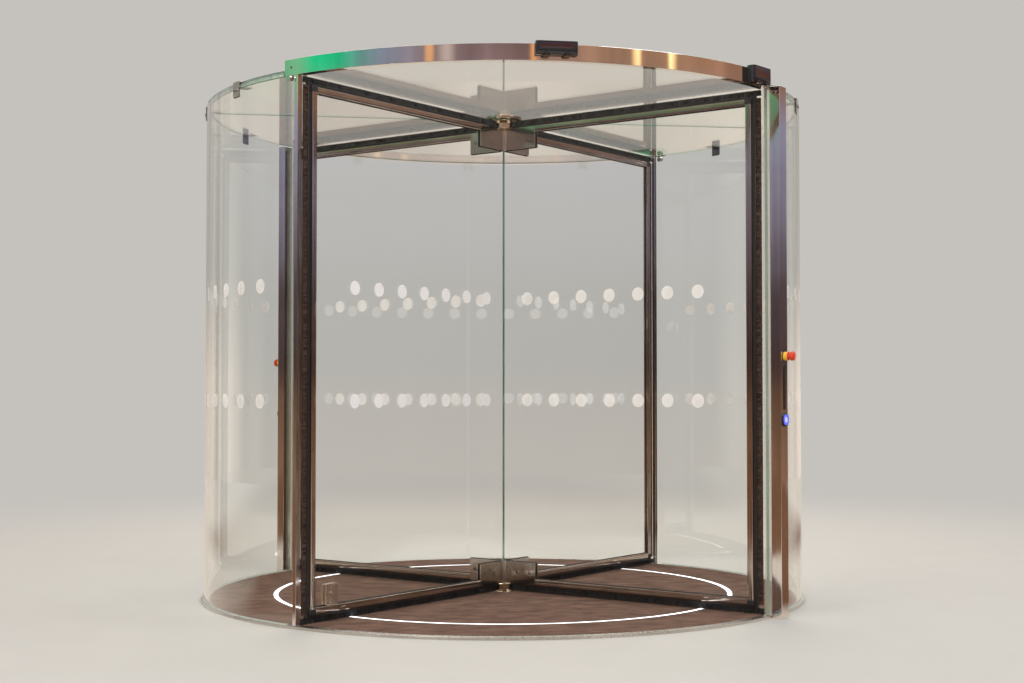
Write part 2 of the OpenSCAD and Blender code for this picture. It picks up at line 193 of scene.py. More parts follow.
metalLooks = {
    "mirrorSteel": dict(dark=(0.74, 0.71, 0.68), light=(0.84, 0.82, 0.80), smooth=0.03, rough=0.08,
                        grain=60, stretch=12, haze=3, relief=0.02),
    "postSteel": dict(dark=(0.66, 0.62, 0.60), light=(0.78, 0.75, 0.73), smooth=0.04, rough=0.10,
                      grain=90, stretch=0.05, haze=4, relief=0.03),
    "fittingSteel": dict(dark=(0.60, 0.57, 0.51), light=(0.72, 0.69, 0.63), smooth=0.10, rough=0.18,
                         grain=110, stretch=6, haze=9, relief=0.05),
    "bearingSteel": dict(dark=(0.66, 0.55, 0.41), light=(0.80, 0.70, 0.55), smooth=0.10, rough=0.20,
                         grain=160, stretch=8, haze=14, relief=0.06),
    "satinSteel": dict(dark=(0.50, 0.49, 0.47), light=(0.62, 0.61, 0.59), smooth=0.22, rough=0.34,
                       grain=140, stretch=8, haze=5, relief=0.12),
    "leafAluminium": dict(dark=(0.46, 0.39, 0.34), light=(0.60, 0.52, 0.46), smooth=0.07, rough=0.15,
                          grain=120, stretch=0.04, haze=4, relief=0.05),
    "lockSteel": dict(dark=(0.70, 0.60, 0.48), light=(0.82, 0.73, 0.62), smooth=0.20, rough=0.32,
                      grain=220, stretch=10, haze=12, relief=0.10),
    "screwSteel": dict(dark=(0.26, 0.25, 0.25), light=(0.40, 0.39, 0.38), smooth=0.16, rough=0.26,
                       grain=400, stretch=1, haze=60, relief=0.05),
}
for name, look in metalLooks.items():
    metalFinish(name, look)


def glassFinish(name, tint):
    # clear glass that lets lamps shine through it
    finish = newFinish(name)
    wave = objectNoise(finish, 1.6, (1, 1, 0.4), detail=1)
    glass = principled(finish, {"Base Color": (*tint, 1), "Roughness": 0, "IOR": glassIndex,
                                "Transmission Weight": 1, "Normal": bumped(finish, wave, 0.02, 0.004)})
    addSurface(finish, byRay(finish, "Is Shadow Ray", glass, plainShader(finish, tint, "BsdfTransparent")))


def edgeGlassFinish(name, deep, pale):
    # polished glass edge, where the green of the whole pane shows
    finish = newFinish(name)
    streak = objectNoise(finish, 5, (1, 1, 0.6), detail=6)
    addSurface(finish, principled(finish, {
        "Base Color": twoColours(finish, streak, deep, pale), "Roughness": 0.08, "IOR": glassIndex,
        "Coat Weight": 0.6, "Transmission Weight": 0.25, "Normal": bumped(finish, streak, 0.05, 0.002)}))


def profileFinish(name, tint, body):
    # clear extruded profile: mostly see-through, with a faint milky body and gloss
    finish = newFinish(name)
    streak = objectNoise(finish, 9, (1, 1, 0.1))
    plastic = principled(finish, {"Base Color": twoColours(finish, streak, [c * 0.9 for c in tint], tint),
                                  "Roughness": 0.12, "Coat Weight": 0.5})
    clear = plainShader(finish, (0.97, 0.97, 0.95), "BsdfTransparent")
    rim = addNode(finish, "LayerWeight", {"Blend": 0.25}).outputs["Facing"]
    addSurface(finish, mixed(finish, spread(finish, rim, body, body * 2.2), clear, plastic))


glassFinish("wallGlass", (0.975, 0.992, 0.984))
glassFinish("ceilingGlass", (0.985, 0.985, 0.955))
glassFinish("leafGlass", (0.985, 0.995, 0.990))
edgeGlassFinish("glassEdge", (0.015, 0.15, 0.10), (0.12, 0.40, 0.31))
profileFinish("clearProfile", (0.74, 0.72, 0.64), 0.22)


def plasticFinish(name, dark, light, rough, grain=300, relief=0.08, coat=0.0):
    finish = newFinish(name)
    speck = objectNoise(finish, grain, detail=4)
    addSurface(finish, principled(finish, {
        "Base Color": twoColours(finish, speck, dark, light), "Coat Weight": coat,
        "Roughness": spread(finish, speck, rough * 0.85, rough * 1.15),
        "Normal": bumped(finish, speck, relief, 0.0006)}))


plasticLooks = {
    "clearSeal": dict(dark=(0.34, 0.39, 0.35), light=(0.48, 0.53, 0.48), rough=0.30, grain=40),
    "hubSeal": dict(dark=(0.16, 0.20, 0.16), light=(0.26, 0.30, 0.24), rough=0.26, grain=30, coat=0.3),
    "blackRubber": dict(dark=(0.010, 0.010, 0.011), light=(0.022, 0.021, 0.021), rough=0.55),
    "bristleBlack": dict(dark=(0.008, 0.007, 0.007), light=(0.030, 0.026, 0.024), rough=0.70, grain=90),
    # side bristles: partly the fibre's own brown tips, partly painted warm light shining through them
    "bristleBrown": dict(dark=(0.022, 0.010, 0.006), light=(0.085, 0.042, 0.024), rough=0.60, grain=90),
    "carrierBlack": dict(dark=(0.012, 0.011, 0.011), light=(0.024, 0.022, 0.021), rough=0.32),
    "sensorBlack": dict(dark=(0.008, 0.008, 0.009), light=(0.016, 0.016, 0.018), rough=0.20, coat=0.5),
    "sensorLens": dict(dark=(0.020, 0.004, 0.006), light=(0.036, 0.008, 0.012), rough=0.06, coat=1),
    "stopRed": dict(dark=(0.62, 0.035, 0.012), light=(0.78, 0.065, 0.022), rough=0.28, coat=0.3),
    "stopYellow": dict(dark=(0.80, 0.44, 0.03), light=(0.90, 0.54, 0.06), rough=0.34),
    "accessBlack": dict(dark=(0.012, 0.012, 0.018), light=(0.024, 0.024, 0.034), rough=0.30),
    "frostDot": dict(dark=(0.86, 0.82, 0.82), light=(0.94, 0.91, 0.91), rough=0.50, grain=240, relief=0.20),
}
for name, look in plasticLooks.items():
    plasticFinish(name, **look)


def matFinish(name, look):
    # looped entrance mat, worn paler in places
    finish = newFinish(name)
    loops = objectNoise(finish, look["loops"], (1, 0.6, 1), detail=5)
    worn = spread(finish, objectNoise(finish, look["wear"], (0.6, 1, 1), detail=6), 0.0, 0.75)
    fibre = twoColours(finish, loops, look["dark"], look["light"], (0.25, 0.72))
    addSurface(finish, principled(finish, {
        "Base Color": mixedColours(finish, worn, fibre, (*look["dust"], 1)), "Roughness": 0.92,
        "Sheen Weight": 0.08, "Specular IOR Level": 0.12, "Normal": bumped(finish, loops, 0.8, 0.002)}))


matLook = dict(loops=380, wear=16, dark=(0.030, 0.015, 0.010), light=(0.130, 0.066, 0.044),
               dust=(0.215, 0.122, 0.086))
matFinish("doorMat", matLook)


def litFinish(name, colour, strength, cloud):
    finish = newFinish(name)
    spots = objectNoise(finish, cloud, detail=2)
    addSurface(finish, principled(finish, {
        "Base Color": (*[c * 0.7 for c in colour], 1), "Roughness": 0.35, "Emission Color": (*colour, 1),
        "Emission Strength": spread(finish, spots, strength * 0.9, strength * 1.1)}))


litFinish("ledWhite", (0.95, 0.96, 1.0), 2.4, 30)
litFinish("ledBlue", (0.09, 0.12, 0.90), 1.0, 120)
litFinish("ledButton", (0.58, 0.60, 1.0), 0.5, 120)
print("finishes made:", len(finishes))


# Making and finishing a piece

smoothAngle = 20  # degrees, above which an edge stays crisp
softenAngle = 35  # degrees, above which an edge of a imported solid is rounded
edgeShare = 0.6  # faces of a pane that look less than this along its normal are its edge
weldReach = 0.00001
# from the floor of the socket to the foot, in shares of the screw's radius and height
screwOutline = [(0, 0.3), (0.5, 0.3), (0.5, 0.96), (0.78, 1), (0.96, 0.6), (1, 0), (0, 0)]


def meshFrom(bm, name):
    mesh = bpy.data.meshes.new(name)
    bm.to_mesh(mesh)
    bm.free()
    return mesh


def placed(name, data):
    thing = bpy.data.objects.new(name, data)
    bpy.context.scene.collection.objects.link(thing)
    return thing


def pieceOf(mesh, name, looks, nodes, body):
    piece = placed(name, mesh)
    for look in looks:
        mesh.materials.append(finishes[look])
    mesh.shade_smooth()
    mesh.set_sharp_from_angle(angle=math.radians(smoothAngle))
    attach(piece, body)
    if nodes:
        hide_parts(*nodes)


def pieceFrom(bm, name, looks, nodes=(), body=drumBody):
    pieceOf(meshFrom(bm, name), name, looks, nodes, body)


def roundOff(bm, edges, width):
    bmesh.ops.bevel(bm, geom=edges, offset=width, offset_type="OFFSET", segments=2, profile=0.5, affect="EDGES",
                    clamp_overlap=True, material=-1)


def softenEdges(bm, width):
    corner = math.radians(softenAngle)
    roundOff(bm, [edge for edge in bm.edges if edge.is_manifold and edge.calc_face_angle() > corner], width)


def copyOfNode(node):
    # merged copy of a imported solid, with its flat faces whole again
    bm = bmesh.new()
    bm.from_mesh(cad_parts[node].data)
    bmesh.ops.remove_doubles(bm, verts=bm.verts, dist=weldReach)
    bmesh.ops.dissolve_limit(bm, angle_limit=math.radians(0.4), verts=bm.verts, edges=bm.edges)
    layers = bm.loops.layers.float_vector
    for layer in list(layers.values()):
        layers.remove(layer)
    for face in bm.faces:
        face.material_index = 0
    return bm


def paintFaces(bm, chosen):
    # gives the chosen faces the second of the piece's finishes
    for face in bm.faces:
        if chosen(face):
            face.material_index = 1


def acrossGlass(face):
    # true for the narrow faces of a curved pane
    out = face.calc_center_median().to_2d().normalized()
    return abs(face.normal.to_2d().dot(out)) < edgeShare


def dress(node, name, looks, width, paint=None, body=drumBody, shape=None):
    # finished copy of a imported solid: reshaped, painted and with its edges rounded
    bm = copyOfNode(node)
    if shape:
        shape(bm)
    if paint:
        paintFaces(bm, paint)
    softenEdges(bm, width)
    pieceFrom(bm, name, looks, [node], body)


def addBox(bm, low, high, place=Matrix(), width=0.0):
    # block between two corners, in the frame of place
    low, high = Vector(low), Vector(high)
    fit = Matrix.Translation((low + high) / 2) @ Matrix.Diagonal((*(high - low), 1))
    made = bmesh.ops.create_cube(bm, size=1, matrix=place @ fit)
    if width:
        roundOff(bm, list({edge for vert in made["verts"] for edge in vert.link_edges}), width)
    return made["verts"]


def addRod(bm, radius, top, length, place, segments):
    # round bar that stands on its place, along its own z
    bmesh.ops.create_cone(bm, cap_ends=True, segments=segments, radius1=radius, radius2=top, depth=length,
                          matrix=place @ moved(0, 0, length / 2))


def addFrom(bm, part, place=Matrix(), index=0):
    # puts a finished part into another mesh, with the finish of that index
    part.transform(place)
    for face in part.faces:
        face.material_index = index
    mesh = meshFrom(part, "part")
    bm.from_mesh(mesh)
    bpy.data.meshes.remove(mesh)


def facingOut(bm):
    bmesh.ops.remove_doubles(bm, verts=bm.verts, dist=weldReach)
    bmesh.ops.recalc_face_normals(bm, faces=bm.faces)


def turnedPart(outline, steps=32):
    # solid turned about its own z from (radius, height) points; it is open only where it meets the axis
    part = bmesh.new()
    verts = [part.verts.new((r, 0, z)) for r, z in outline]
    edges = [part.edges.new(pair) for pair in zip(verts, verts[1:])]
    if outline[0][0]:
        edges.append(part.edges.new((verts[-1], verts[0])))
    bmesh.ops.spin(part, geom=verts + edges, cent=(0, 0, 0), axis=up, angle=math.tau, steps=steps, use_merge=True)
    facingOut(part)
    return part


def addTurned(bm, outline, place=Matrix(), index=0, steps=32):
    addFrom(bm, turnedPart(outline, steps), place, index)


def section(inner, low, outer, high):
    return [(inner, low), (outer, low), (outer, high), (inner, high)]


def addArc(bm, corners, start, end, steps):
    # bar with a section of (radius, height) corners, swept round the pivot from one angle to the other
    part = bmesh.new()
    face = part.faces.new([part.verts.new((r, 0, z)) for r, z in corners])
    bmesh.ops.spin(part, geom=[face], cent=(0, 0, 0), axis=up, angle=end - start, steps=steps, use_merge=False)
    facingOut(part)
    addFrom(bm, part, turned(start))


def outwardAt(angle, radius, height):
    # place whose own z points away from the pivot
    return turned(angle) @ moved(radius, 0, height) @ alongX


def addScrew(bm, place, size):
    # screw head of a (radius, height) that stands on its place, with a six-sided socket
    radius, height = size
    pit = radius * screwOutline[1][0]
    part = turnedPart([(radius * out, height * rise) for out, rise in screwOutline], 24)
    sixth = math.tau / 6
    for vert in part.verts:
        if abs(vert.co.to_2d().length - pit) < radius * 0.02:
            turn = math.atan2(vert.co.y, vert.co.x) % sixth - sixth / 2
            vert.co.xy = vert.co.xy * math.cos(sixth / 2) / math.cos(turn)
    addFrom(bm, part, place)


def repeatAlong(bm, step, count):
    # copies all that is there, count times in a row
    first = bm.verts[:] + bm.edges[:] + bm.faces[:]
    for number in range(1, count):
        copy = bmesh.ops.duplicate(bm, geom=first)["geom"]
        verts = [item for item in copy if isinstance(item, bmesh.types.BMVert)]
        bmesh.ops.translate(bm, verts=verts, vec=step * number)


def onEachLeaf(bm, label, looks, node=None):
    # the same piece on all four leaves, from one made along +X
    mesh = meshFrom(bm, label)
    for number in range(1, leafCount + 1):
        copy = mesh.copy()
        copy.transform(leafTurn(number))
        nodes = [node % number] if node else []
        pieceOf(copy, "leaf_%d_%s" % (number, label), looks, nodes, leafBody)


# Floor

floorParts = {"rimEdge": 0.0008, "bearingEdge": 0.0015, "ledCrown": 0.0012, "ledTrim": 0.0015, "ringSteps": 144,
              "matEdge": 0.0008, "ribStep": 0.009, "ribGap": 0.0012, "ribHeight": 0.0014, "ribTaper": 0.6,
              "ribInset": 0.001, "ribSink": 0.0002, "screw": (0.0034, 0.0006),
              "wallScrews": (-38, -25, -13, 13, 25, 38), "mouthScrews": (-36, -18, 0, 18, 36)}


def addRibs(bm, inner, outer, low, look):
    # rows of pile across the way in, cut to the ring between two radii
    step = look["ribStep"]
    half = (step - look["ribGap"]) / 2
    for number in range(int(-outer / step), int(outer / step) + 1):
        middle = number * step
        far = abs(middle) + half
        near = max(abs(middle) - half, 0)
        if far >= outer:
            continue
        end = math.sqrt(outer ** 2 - far ** 2)
        start = math.sqrt(inner ** 2 - near ** 2) if near < inner else 0
        for left, right in ([(-end, -start), (start, end)] if start else [(-end, end)]):
            if right - left > step:
                for vert in addBox(bm, (left, middle - half, low), (right, middle + half, floorTop)):
                    if vert.co.z > (low + floorTop) / 2:
                        vert.co.y = middle + (vert.co.y - middle) * look["ribTaper"]


def makeMat(node, look):
    inner, outer = radiiOf(node)
    pileLow = floorTop - look["ribHeight"]
    inset = look["ribInset"]
    bm = copyOfNode(node)
    for vert in bm.verts:
        vert.co.z = min(vert.co.z, pileLow)
    softenEdges(bm, look["matEdge"])
    addRibs(bm, inner + inset, outer - inset, pileLow - look["ribSink"], look)
    pieceFrom(bm, node + "_pile", ["doorMat"], [node])


def makeFloor(look):
    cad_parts["base_plate"].data.materials[0] = finishes["satinSteel"]
    dress("floor_rim", "floor_rim_trim", ["satinSteel"], look["rimEdge"])
    dress("floor_bearing", "floor_bearing_disc", ["bearingSteel"], look["bearingEdge"])
    makeMat("mat_centre", look)
    makeMat("mat_outer", look)
    ledIn, ledOut = radiiOf("light_ring")
    ledLow, ledHigh = (corner.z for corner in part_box("light_ring"))
    trim = look["ledTrim"]
    shoulder = ledHigh - look["ledCrown"]
    diffuser = bmesh.new()
    addTurned(diffuser, [(ledIn + trim, ledLow), (ledOut - trim, ledLow), (ledOut - trim, shoulder),
                         ((ledIn + ledOut) / 2, ledHigh), (ledIn + trim, shoulder)], steps=look["ringSteps"])
    pieceFrom(diffuser, "light_ring_diffuser", ["ledWhite"], ["light_ring"])
    edging = bmesh.new()
    for start in (ledIn, ledOut - trim):
        addTurned(edging, section(start, ledLow, start + trim, ledHigh), steps=look["ringSteps"])
    pieceFrom(edging, "light_ring_edging", ["satinSteel"])
    rimIn, rimOut = radiiOf("floor_rim")
    screws = bmesh.new()
    for side in (0, 180):
        spots = [(side + angle, (wallOut + rimOut) / 2) for angle in look["wallScrews"]]
        spots += [(side + 90 + angle, (rimIn + rimOut) / 2) for angle in look["mouthScrews"]]
        for angle, radius in spots:
            addScrew(screws, turned(math.radians(angle)) @ moved(radius, 0, floorTop), look["screw"])
    pieceFrom(screws, "floor_rim_screws", ["screwSteel"])


makeFloor(floorParts)
print("floor made")


# Glass drum and ceiling

dotLook = {"radius": 0.033, "rows": (0.985, 1.500), "spacing": 0.165, "thickness": 0.0003, "segments": 32,
           "wallReach": 40, "wallGap": 0.0001, "leafGap": 0.0004, "leafFrom": 0.15, "leafSpare": 0.10}
drumParts = {"arris": 0.0012, "jointEdge": 0.001, "beadWidth": 0.004, "beadReach": 42.8, "ceilingReach": 41.0,
             "beadSteps": 60, "beadGap": 0.0002, "beadOverLow": 0.002, "beadUnderTop": 0.003,
             "jointInset": 0.001, "jointGap": 0.0001, "bearingGap": 0.0015}


def addWallDot(bm, angle, height, look):
    # round dot bent to the inner face of the wall glass
    disc = bmesh.ops.create_circle(bm, cap_ends=True, cap_tris=True, segments=look["segments"],
                                   radius=look["radius"])["verts"]
    faces = list({face for vert in disc for face in vert.link_faces})
    raised = bmesh.ops.extrude_face_region(bm, geom=faces)["geom"]
    lifted = [item for item in raised if isinstance(item, bmesh.types.BMVert)]
    bmesh.ops.translate(bm, verts=lifted, vec=(0, 0, look["thickness"]))
    for vert in set(disc) | set(lifted):
        radius = wallIn - look["wallGap"] - vert.co.z
        turn = angle + vert.co.x / wallIn
        vert.co = Vector((radius * math.cos(turn), radius * math.sin(turn), height + vert.co.y))


def makeDots(look):
    dots = bmesh.new()
    step = look["spacing"] / wallIn
    reach = int(math.radians(look["wallReach"]) / step)
    for side in (0, math.pi):
        for row in look["rows"]:
            for number in range(-reach, reach):
                addWallDot(dots, side + (number + 0.5) * step, row, look)  # none on the joint between two panes
    bmesh.ops.recalc_face_normals(dots, faces=dots.faces)
    pieceFrom(dots, "wall_dots", ["frostDot"])


def makeBeads(look):
    # seals along the foot of the walls, round the edge of the ceiling glass and along its joint
    wide, gap, inset = look["beadWidth"], look["beadGap"], look["jointInset"]
    rim = section(ceilingRadius + gap, ceilingLow + look["beadOverLow"],
                  wallIn - gap, ceilingTop - look["beadUnderTop"])
    foot, edge = bmesh.new(), bmesh.new()
    for side in (0, math.pi):
        reach = math.radians(look["beadReach"])
        for face, out in ((wallIn, -wide), (wallOut, wide)):
            corners = [(face, floorTop), (face + out, floorTop), (face, floorTop + wide)]
            addArc(foot, corners, side - reach, side + reach, look["beadSteps"])
        reach = math.radians(look["ceilingReach"])
        addArc(edge, rim, side - reach, side + reach, look["beadSteps"])
    pieceFrom(foot, "wall_foot_beads", ["clearSeal"])
    pieceFrom(edge, "ceiling_edge_beads", ["clearSeal"])
    joint = bmesh.new()
    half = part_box("ceiling_rear")[0].y - look["jointGap"]
    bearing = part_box("floor_bearing")[1].x + look["bearingGap"]
    for side in (-1, 1):
        ends = sorted((side * bearing, side * (ceilingRadius - inset)))
        addBox(joint, (ends[0], -half, ceilingLow + inset), (ends[1], half, ceilingTop - inset))
    pieceFrom(joint, "ceiling_joint_bead", ["clearSeal"])


def makeDrum(look):
    for node in ("wall_left_front", "wall_left_rear", "wall_right_front", "wall_right_rear"):
        dress(node, node + "_pane", ["wallGlass", "glassEdge"], look["arris"], acrossGlass)
    for node in ("ceiling_front", "ceiling_rear"):
        dress(node, node + "_pane", ["ceilingGlass", "glassEdge"], look["arris"],
              lambda face: abs(face.normal.z) < edgeShare)
    dress("wall_joints", "wall_joint_beads", ["clearSeal"], look["jointEdge"])
    makeBeads(look)
    makeDots(dotLook)


makeDrum(drumParts)
print("drum made")


# Bands, posts and clamps

steelParts = {"bandEdge": 0.0008, "postEdge": 0.0012, "channelEdge": 0.001, "clampEdge": 0.0015, "studEdge": 0.0015,
              "bearingEdge": 0.002, "bandScrew": (0.0055, 0.003), "bandScrewRise": 0.014,
              "bandScrewAngles": (-136.6, -46.4), "capDrop": 0.03,
              "capOutline": [(0, 0), (0.010, 0), (0.010, 0.003), (0.007, 0.006), (0, 0.007)],
              "clampAngles": (-27, 0, 27), "clampSpan": 8, "clampScrew": (0.008, 0.004), "clampScrewInset": 0.020,
              "gasket": 0.0030, "gasketRise": 0.0012, "gasketInset": 0.001, "bearingScrews": 6,
              "bearingScrew": (0.0055, 0.004), "bearingScrewInset": 0.012, "underScrew": (0.0055, 0.002),
              "underScrewOut": 0.046}


def makeBandScrews(look):
    # one screw near each end of the bands, and a cap on the inner corner of each post's head
    screws, caps = bmesh.new(), bmesh.new()
    corner = moved((postLow.x + postHigh.x) / 2, postLow.y, postHigh.z - look["capDrop"]) @ facingSide(-1)
    heights = ((bandLow + bandHigh) / 2, bandLow + look["bandScrewRise"])
    for turn in (0, 180):
        for angle, height in zip(look["bandScrewAngles"], heights):
            addScrew(screws, outwardAt(math.radians(angle + turn), bandOut, height), look["bandScrew"])
        addTurned(caps, look["capOutline"], turned(math.radians(turn)) @ postTurn @ corner)
    pieceFrom(screws, "band_screws", ["screwSteel"])
    pieceFrom(caps, "post_head_caps", ["screwSteel"])


def makeClampParts(look):
    # through bolts of the saddle clamps, and the gaskets that show round their plates
    bolts, gaskets = bmesh.new(), bmesh.new()
    rim, rise, inset = look["gasket"], look["gasketRise"], look["gasketInset"]
    for node, side in (("clamps_right", 0), ("clamps_left", math.pi)):
        points = [turned(side).inverted() @ vert.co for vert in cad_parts[node].data.vertices]
        angles = sorted({round(math.degrees(math.atan2(p.y, p.x))) for p in points})
        groups = [[a for a in angles if abs(a - middle) < look["clampSpan"]] for middle in look["clampAngles"]]
        reachIn, plateOut = radiiOf(node)
        foot = min(p.z for p in points)
        head = max(p.z for p in points)
        wallStrip = section(wallOut, foot - rim, wallOut + rise, ceilingTop - inset)
        ceilingStrip = section(reachIn - rim, ceilingTop, ceilingRadius - inset, ceilingTop + rise)
        for group in groups:
            middle = side + math.radians((group[0] + group[-1]) / 2)
            half = math.radians((group[-1] - group[0]) / 2) * 0.5
            for turn in (middle - half, middle + half):
                for place in (outwardAt(turn, plateOut, (foot + ceilingTop) / 2),
                              turned(turn) @ moved(reachIn + look["clampScrewInset"], 0, head)):
                    addScrew(bolts, place, look["clampScrew"])
            wide = half * 2 + rim / wallOut
            for corners in (wallStrip, ceilingStrip):
                addArc(gaskets, corners, middle - wide, middle + wide, 6)
    pieceFrom(bolts, "clamp_bolts", ["screwSteel"])
    pieceFrom(gaskets, "clamp_gaskets", ["blackRubber"])


def makeSteel(look):
    for node in ("fascia_front", "fascia_rear"):
        dress(node, node + "_band", ["mirrorSteel"], look["bandEdge"])
    for node in ("pinch_post_front", "pinch_post_rear"):
        dress(node, node + "_case", ["postSteel"], look["postEdge"])
    for node, side in (("edge_channels_front", 1), ("edge_channels_rear", -1)):
        dress(node, node + "_trim", ["postSteel", "clearProfile"], look["channelEdge"],
              lambda face: face.calc_center_median().x * side > 0)
    for node in ("clamps_left", "clamps_right"):
        dress(node, node + "_plates", ["fittingSteel"], look["clampEdge"])
    dress("band_studs", "band_stud_pins", ["fittingSteel"], look["studEdge"])
    dress("ceiling_bearing", "ceiling_bearing_case", ["bearingSteel"], look["bearingEdge"])
    makeBandScrews(look)
    makeClampParts(look)
    screws = bmesh.new()
    low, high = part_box("ceiling_bearing")
    top = moved(high.x - look["bearingScrewInset"], 0, ceilingTop + (high.z - ceilingTop) / 2)
    under = moved(look["underScrewOut"], 0, low.z) @ upsideDown
    for number in range(look["bearingScrews"]):
        turn = turned(math.tau * (number + 0.5) / look["bearingScrews"])
        addScrew(screws, turn @ top, look["bearingScrew"])
        addScrew(screws, turn @ under, look["underScrew"])
    pieceFrom(screws, "ceiling_bearing_screws", ["screwSteel"])


makeSteel(steelParts)
print("steel made")


# Sensors and buttons

# The outlines are (radius, height); in those of the lamps, the radius is a share of the lit ring's.
controlParts = {"sensorEdge": 0.003, "windowInset": 0.009, "windowDepth": 0.0012, "windowArea": 0.002,
                "underArea": 0.0011, "collarEdge": 0.002, "collarOut": 1.5925, "slotLow": 0.945, "slotHigh": 1.150,
                "slotWidth": 0.018, "slotDepth": 0.003, "slotEdge": 0.0012, "ringShare": 0.77,
                "gasketOutline": [(0.0205, 0), (0.0225, 0), (0.0225, 0.0015), (0.0205, 0.0025)],
                "bezelSide": 0.006, "bezelTop": 0.008, "bezelFloor": 0.0065, "bezelRound": 0.002, "bezelGap": 0.001,
                "ringOutline": [(0.58, 0.006), (1, 0.006), (1, 0.009), (0.95, 0.010), (0.63, 0.010), (0.58, 0.009)],
                "lampOutline": [(0, 0.006), (0.54, 0.006), (0.54, 0.0085), (0.47, 0.0095), (0, 0.010)]}


def sensorAngle(point):
    # direction of the nearer sensor: over the middle of the mouth, or beside the post
    turn = math.degrees(math.atan2(point.y, point.x)) % 180
    return 90 if abs(turn - 90) < 15 else round(turn)


def sinkWindow(bm, look):
    # lens window let into the front of each sensor case
    fronts = {}
    for face in bm.faces:
        middle = face.calc_center_median()
        outward = face.normal.to_2d().dot(middle.to_2d().normalized()) > 0.97
        if abs(face.normal.z) < 0.1 and outward and face.calc_area() > look["windowArea"]:
            fronts[sensorAngle(middle) < 100] = face
    for face in fronts.values():
        bmesh.ops.inset_individual(bm, faces=[face], thickness=look["windowInset"])
        bmesh.ops.translate(bm, verts=face.verts, vec=-face.normal * look["windowDepth"])
        face.material_index = 1


def makeControls(look):
    for node in ("sensors_front", "sensors_rear"):
        dress(node, node + "_case", ["sensorBlack", "sensorLens"], look["sensorEdge"],
              lambda face: face.normal.z < -0.9 and face.calc_area() < look["underArea"],
              shape=lambda bm: sinkWindow(bm, look))
    dress("stop_buttons", "stop_button_heads", ["stopRed", "stopYellow"], look["collarEdge"],
          lambda face: abs((postTurn.inverted() @ face.calc_center_median()).x) < look["collarOut"])
    gaskets, plates, bezels, rings = (bmesh.new() for each in range(4))
    accessLow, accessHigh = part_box("access_buttons")
    height = (accessLow.z + accessHigh.z) / 2
    radius = (accessHigh.z - accessLow.z) / 2
    stopHeight = sum(corner.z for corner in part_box("stop_buttons")) / 2
    half, deep = look["slotWidth"] / 2, look["slotDepth"]
    ring = radius * look["ringShare"]
    pit = ring + look["bezelGap"]
    bezel = [(0, 0), (radius, 0), (radius, look["bezelSide"]), (radius - look["bezelRound"], look["bezelTop"]),
             (pit, look["bezelTop"]), (pit, look["bezelFloor"]), (0, look["bezelFloor"])]
    for turn in (0, math.pi):
        face = turned(turn) @ postTurn @ moved(postHigh.x, (postLow.y + postHigh.y) / 2, 0)
        addTurned(gaskets, look["gasketOutline"], face @ moved(0, 0, stopHeight) @ alongX)
        addBox(plates, (0, -half, look["slotLow"]), (deep, half, look["slotHigh"]), face, look["slotEdge"])
        place = face @ moved(0, 0, height) @ alongX
        addTurned(bezels, bezel, place)
        for index, outline in enumerate((look["ringOutline"], look["lampOutline"])):
            addTurned(rings, [(ring * share, rise) for share, rise in outline], place, index)
    pieceFrom(gaskets, "stop_button_gaskets", ["blackRubber"])
    pieceFrom(plates, "post_slot_plates", ["carrierBlack"])
    pieceFrom(bezels, "access_button_bezels", ["accessBlack"], ["access_buttons"])
    pieceFrom(rings, "access_button_lamps", ["ledBlue", "ledButton"])


makeControls(controlParts)
print("controls made")


# Leaves

leafParts = {"arris": 0.001, "frameEdge": 0.0012, "levelCarrier": 0.012, "sideCarrier": 0.019, "carrierEdge": 0.0012,
             "bristleStep": 0.0034, "bristleRows": 4, "bristleWidth": 0.0022, "bristleThick": 0.014,
             "bristleTip": 0.009, "bristleSpare": 0.004, "bristleShort": 0.92, "bristleScatter": 0.35,
             "bristleTilt": 0.03, "bristleLean": 0.06, "unitColumns": 52, "core": 0.006, "coreInset": 0.001,
             "coreShare": 0.86, "gasket": 0.003, "gasketRise": 0.0016, "gasketFrom": 0.02, "railCover": 0.030,
             "shoeHeight": 0.030, "shoeWidth": 0.034, "shoeOver": 0.004, "shoeThick": 0.0015, "shoeEdge": 0.006}


def leafCopy(node, width, paint=None):
    bm = copyOfNode(node)
    bm.transform(leafTurn(1).inverted())
    bm.normal_update()
    if paint:
        paintFaces(bm, paint)
    softenEdges(bm, width)
    return bm


def addBristles(bm, place, length, reach, look, seed):
    # rows of thin tapered blades along x that close in towards their tips, pointing to +z of the place
    draw = random.Random(seed)
    unit = bmesh.new()
    columns = look["unitColumns"]
    count = round(length / columns / look["bristleStep"])
    step = length / count / columns
    wide = look["bristleWidth"]
    base = look["bristleThick"] - 2 * wide
    closing = (look["bristleThick"] - look["bristleTip"]) / 2 / reach
    scatter, tilt, lean = look["bristleScatter"], look["bristleTilt"], look["bristleLean"]
    for column in range(columns):
        for row in range(look["bristleRows"]):
            across = row / (look["bristleRows"] - 1) - 0.5
            x = (column + 0.5 * (row % 2) + draw.uniform(-scatter, scatter)) * step
            inward = Matrix.Rotation(2 * across * closing + draw.uniform(-tilt, tilt), 4, "X")
            blade = moved(x, across * base, 0) @ Matrix.Rotation(draw.uniform(-lean, lean), 4, "Y")
            blade = blade @ inward @ turned(draw.uniform(0, 2))
            addRod(unit, wide, wide * 0.5, reach * draw.uniform(look["bristleShort"], 1.0), blade, 3)
    repeatAlong(unit, Vector((length / count, 0, 0)), count)
    thin, inset = look["core"] / 2, look["coreInset"]
    addBox(unit, (inset, -thin, 0), (length - inset, thin, reach * look["coreShare"]))
    addFrom(bm, unit, place)


